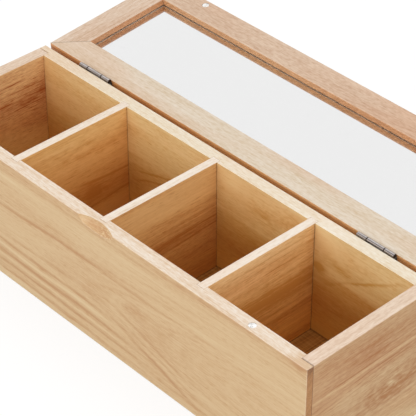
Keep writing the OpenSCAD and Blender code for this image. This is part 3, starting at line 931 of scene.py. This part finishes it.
def make_hinges(steel):
    for side in ("left", "right"):
        for body, part in (("box", "box_leaf"), ("lid", "lid_leaf")):
            node = f"{side}_hinge_{part}"
            piece = rounded_copy(node, node + "_strip", STRIP_ARRIS, STRIP_EDGE, 2)
            finish_piece(piece, body, steel, "hinge_steel", node)
        node = f"{side}_hinge_pin"
        low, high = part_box(node)
        half, r = (high.x - low.x) / 2 / MM, (high.z - low.z) / 2 / MM
        profile = mirrored([(0, -half), (r * 0.7, -half), (r, -half + PIN_CHAMFER)], 0)
        place = Matrix.Translation((low + high) / 2) @ Matrix.Rotation(math.radians(90), 4, "Y")
        finish_piece(turned(node + "_rod", profile, place), "box", steel, "hinge_steel", node)


# ---- Hinge screws ----

SUNK = 0.15  # a screw's head, shank and point reach this far into one another
HEAD_SIDES = 36
SHANK_SIDES = 24
HEAD_CREASE = math.radians(35)  # keeps the edges of the recess crisp
SCREW_SIZES = {
    "Head Diameter": 3.6,
    "Head Height": 1.4,
    "Shank Diameter": 2.0,
    "Shank Length": 5.0,
    "Point Length": 2.0,
    "Thread Pitch": 0.9,
    "Thread Height": 0.22,
    "Recess Length": 1.9,
    "Recess Width": 0.45,
    "Recess Depth": 0.7,
    "Screw Pitch": SCREW_PITCH,
    "Hinge Spacing": 2 * HINGE_X,
}
MOVE, BLOCK = "GeometryNodeTransform", "GeometryNodeMeshCube"


def raised(tree, shape, height):
    """A shape moved along the screw's own axis."""
    return add(tree, MOVE, {0: shape, "Translation": add(tree, JOIN, 0.0, 0.0, height)})


def screw_head(tree, given):
    """The cap of a ball, with the cross recess cut into it."""
    head_h = given["Head Height"]
    half = add(tree, MATH, given["Head Diameter"], 2.0, operation="DIVIDE")
    square = add(tree, MATH, half, 2.0, operation="POWER")
    square = add(tree, MATH, head_h, head_h, square, operation="MULTIPLY_ADD")
    twice = add(tree, MATH, head_h, 2.0, operation="MULTIPLY")
    ball_r = add(tree, MATH, square, twice, operation="DIVIDE")
    ball = {"Segments": HEAD_SIDES, "Rings": 28, "Radius": ball_r}
    ball = add(tree, "GeometryNodeMeshUVSphere", ball)
    ball = raised(tree, ball, add(tree, MATH, head_h, ball_r, operation="SUBTRACT"))
    wide = add(tree, MATH, ball_r, 4.0, operation="MULTIPLY")
    cutter = add(tree, BLOCK, {"Size": add(tree, JOIN, wide, wide, wide)})
    cutters = [raised(tree, cutter, add(tree, MATH, ball_r, -2.0, operation="MULTIPLY"))]
    arm_l, arm_w = given["Recess Length"], given["Recess Width"]
    deep = add(tree, MATH, given["Recess Depth"], 2.0, operation="MULTIPLY")
    for size in ((arm_l, arm_w, deep), (arm_w, arm_l, deep)):
        arm = add(tree, BLOCK, {"Size": add(tree, JOIN, *size)})
        cutters.append(raised(tree, arm, head_h))
    head = {"operation": "DIFFERENCE", "solver": "MANIFOLD"}
    head = add(tree, "GeometryNodeMeshBoolean", {0: ball}, **head)
    for cutter in cutters:
        tree.links.new(cutter, head.node.inputs["Mesh 2"])
    return head


def screw_shank(tree, given):
    """The shank, the point and the thread wound round the shank."""
    shank_l, point_l = given["Shank Length"], given["Point Length"]
    radius = add(tree, MATH, given["Shank Diameter"], 2.0, operation="DIVIDE")
    shank = {"Vertices": SHANK_SIDES, "Radius": radius, "Depth": shank_l}
    shank = add(tree, "GeometryNodeMeshCylinder", shank)
    drop = add(tree, MATH, shank_l, -0.5, SUNK * MM, operation="MULTIPLY_ADD")
    shank = raised(tree, shank, drop)
    root_r = add(tree, MATH, radius, 0.98, operation="MULTIPLY")
    tip_r = add(tree, MATH, radius, 0.05, operation="MULTIPLY")
    tip = {"Radius Top": root_r, "Radius Bottom": tip_r, "Depth": point_l}
    tip = add(tree, "GeometryNodeMeshCone", {"Vertices": SHANK_SIDES, **tip})
    low = add(tree, MATH, shank_l, point_l)
    low = add(tree, MATH, low, -1.0, 2 * SUNK * MM, operation="MULTIPLY_ADD")
    tip = raised(tree, tip, low)
    wound = add(tree, MATH, shank_l, 0.75, operation="MULTIPLY")
    turns = add(tree, MATH, wound, given["Thread Pitch"], operation="DIVIDE")
    spiral = {"Resolution": 20, "Rotations": turns, "Height": wound}
    spiral.update({"Start Radius": radius, "End Radius": radius})
    spiral = add(tree, "GeometryNodeCurveSpiral", spiral)
    ridge = {"Resolution": 4, "Radius": given["Thread Height"]}
    ridge = add(tree, "GeometryNodeCurvePrimitiveCircle", ridge)
    thread = {"Curve": spiral, "Profile Curve": ridge, "Fill Caps": True}
    thread = add(tree, "GeometryNodeCurveToMesh", thread)
    thread = raised(tree, thread, add(tree, MATH, shank_l, -1.0, operation="MULTIPLY"))
    return thread, tip, shank


def screw_tree(steel):
    """Geometry Nodes tree of a row of round-head screws: two to a leaf, one leaf at each end."""
    tree = bpy.data.node_groups.new("hinge_screws", "GeometryNodeTree")
    tree.is_modifier = True
    for name, size in SCREW_SIZES.items():
        socket = tree.interface.new_socket(name, in_out="INPUT", socket_type="NodeSocketFloat")
        socket.default_value = size * MM
    for name in ("Place", "Turn"):
        tree.interface.new_socket(name, in_out="INPUT", socket_type="NodeSocketVector")
    seed = tree.interface.new_socket("Seed", in_out="INPUT", socket_type="NodeSocketInt")
    seed.default_value = 4
    tree.interface.new_socket("Screws", in_out="OUTPUT", socket_type="NodeSocketGeometry")
    given = add(tree, "NodeGroupInput").node.outputs
    head = screw_head(tree, given)
    screw = add(tree, "GeometryNodeJoinGeometry")
    for part in (*screw_shank(tree, given), head):
        tree.links.new(part, screw.node.inputs[0])

    # Two hinges along X, two screws on each leaf, every screw left at its own turn
    rows = []
    for gap in (given["Hinge Spacing"], given["Screw Pitch"]):
        start = add(tree, MATH, gap, -0.5, operation="MULTIPLY")
        start, offset = add(tree, JOIN, start, 0.0, 0.0), add(tree, JOIN, gap, 0.0, 0.0)
        ends = {"Count": 2, "Start Location": start, "Offset": offset}
        rows.append(add(tree, "GeometryNodeMeshLine", ends, mode="OFFSET"))
    seats = {"Points": rows[0], "Instance": rows[1]}
    seats = add(tree, "GeometryNodeInstanceOnPoints", seats)
    seats = add(tree, "GeometryNodeRealizeInstances", seats)
    spin = {2: 0.0, 3: math.pi, "Seed": given["Seed"]}
    spin = add(tree, "FunctionNodeRandomValue", spin, out=1, data_type="FLOAT")
    spin = add(tree, JOIN, 0.0, 0.0, spin)
    screws = {"Points": seats, "Instance": screw, "Rotation": spin}
    screws = add(tree, "GeometryNodeInstanceOnPoints", screws)
    upright = {0: screws, "Rotation": (-math.pi / 2, 0, 0), "Local Space": False}
    upright = add(tree, "GeometryNodeRotateInstances", upright)
    placed = {0: upright, "Translation": given["Place"], "Rotation": given["Turn"]}
    placed = add(tree, MOVE, placed)
    real = add(tree, "GeometryNodeRealizeInstances", placed)
    painted = add(tree, "GeometryNodeSetMaterial", {0: real, "Material": steel})
    add(tree, "NodeGroupOutput", painted)
    return tree


def make_screws(steel):
    tree = screw_tree(steel)
    inputs = [item for item in tree.interface.items_tree if item.in_out == "INPUT"]
    sockets = {item.name: item.identifier for item in inputs}
    closed = mm(0, -LEAF_FRONT, PIN_Z + SCREW_ROW)
    rows = {  # body: (middle of its row, turn, seed of the screws' own turns)
        "box": (mm(0, -LEAF_FRONT, PIN_Z - SCREW_ROW), 0.0, 4),
        "lid": (lid_turn() @ closed, math.radians(-LID_OPEN), 11),
    }
    for body, (place, turn, seed) in rows.items():
        name = body + "_hinge_screws"
        piece = link(bpy.data.meshes.new(name), name)
        modifier = piece.modifiers.new("screws", "NODES")
        modifier.node_group = tree
        modifier[sockets["Place"]] = place
        modifier[sockets["Turn"]] = (turn, 0.0, 0.0)
        modifier[sockets["Seed"]] = seed
        settle(piece)
        piece.data.set_sharp_from_angle(angle=HEAD_CREASE)
        nodes = [f"{side}_hinge_{body}_screws" for side in ("left", "right")]
        finish_piece(piece, body, steel, "hinge_steel", *nodes)


# ---- Floor, light and air ----

FLOOR_HALF = 4.0  # metres
FLOOR_DROP = 0.2  # keeps the floor clear of the box's lower edges
FLOOR_COLOUR = "#b8b8b8"  # as it lights the box
FLOOR_SEEN = "#898989"  # as the camera sees it, before the glow
FLOOR_GLOW = 0.76
ROOM_LIGHT = 0.74
SOFTBOX_SIZE = 0.9  # metres
SOFTBOX_DISTANCE = 2.0  # metres
LAMP_AIM_Z = 50  # height of the point that the lamps face
SOFTBOXES = {  # name: (azimuth and elevation in degrees, watts)
    "front_softbox": (0, 20, 14),
    "right_softbox": (90, 30, 9.5),
    "left_softbox": (-90, 35, 4),
    "back_softbox": (180, 50, 4),
}


def make_stage():
    """A pale floor that shows as white to the camera and in glass and metal, and keeps the
    shadow."""
    bm = bmesh.new()
    bmesh.ops.create_grid(bm, x_segments=1, y_segments=1, size=FLOOR_HALF)
    mesh = mesh_from(bm, "floor")
    mesh.transform(Matrix.Translation(mm(0, 0, -FLOOR_DROP)))
    floor = link(mesh, "floor")
    material = bpy.data.materials.new("pale_floor")
    material.use_nodes = True
    tree = material.node_tree
    tree.nodes.clear()
    path = add(tree, "ShaderNodeLightPath").node.outputs
    coats = {0: path["Is Camera Ray"], MIX_A: linear(FLOOR_COLOUR), MIX_B: linear(FLOOR_SEEN)}
    paint = add(tree, MIX, coats, **PAINT)
    paint = add(tree, "ShaderNodeBsdfDiffuse", paint)
    glow = add(tree, MATH, path["Is Camera Ray"], FLOOR_GLOW, operation="MULTIPLY")
    glow = add(tree, "ShaderNodeEmission", (1, 1, 1, 1), glow)
    painted = add(tree, "ShaderNodeAddShader", paint, glow)
    white = add(tree, "ShaderNodeEmission", (1, 1, 1, 1), 1.0)
    rays = path["Is Transmission Ray"], path["Is Glossy Ray"]
    reflected = add(tree, MATH, *rays, operation="MAXIMUM")
    surface = add(tree, "ShaderNodeMixShader", reflected, painted, white)
    add(tree, "ShaderNodeOutputMaterial", surface)
    mesh.materials.append(material)


def make_light():
    """Even light from all round, a softbox low in front, and weaker ones at the sides."""
    world = bpy.data.worlds.new("studio")
    bpy.context.scene.world = world
    world.use_nodes = True
    tree = world.node_tree
    tree.nodes.clear()
    path = add(tree, "ShaderNodeLightPath").node.outputs
    white = add(tree, "ShaderNodeBackground", (1, 1, 1, 1), 1.0)
    room = add(tree, "ShaderNodeBackground", (1, 1, 1, 1), ROOM_LIGHT)
    seen = path["Is Camera Ray"]
    for ray in ("Is Transmission Ray", "Is Glossy Ray"):
        seen = add(tree, MATH, seen, path[ray], operation="MAXIMUM")
    surface = add(tree, "ShaderNodeMixShader", seen, room, white)
    add(tree, "ShaderNodeOutputWorld", surface)
    for name, (azimuth, elevation, power) in SOFTBOXES.items():
        way = towards(azimuth, elevation)
        data = bpy.data.lights.new(name, "AREA")
        data.size = SOFTBOX_SIZE
        data.energy = power
        lamp = bpy.data.objects.new(name, data)
        lamp.location = mm(0, 0, LAMP_AIM_Z) + way * SOFTBOX_DISTANCE
        lamp.rotation_euler = way.to_track_quat("Z", "Y").to_euler()
        lamp.visible_camera = False
        bpy.context.scene.collection.objects.link(lamp)


make_camera()
make_boards()
make_pane()
make_magnets()
steel = hinge_steel()
make_hinges(steel)
make_screws(steel)
make_stage()
make_light()
bpy.context.scene.view_settings.view_transform = "Standard"
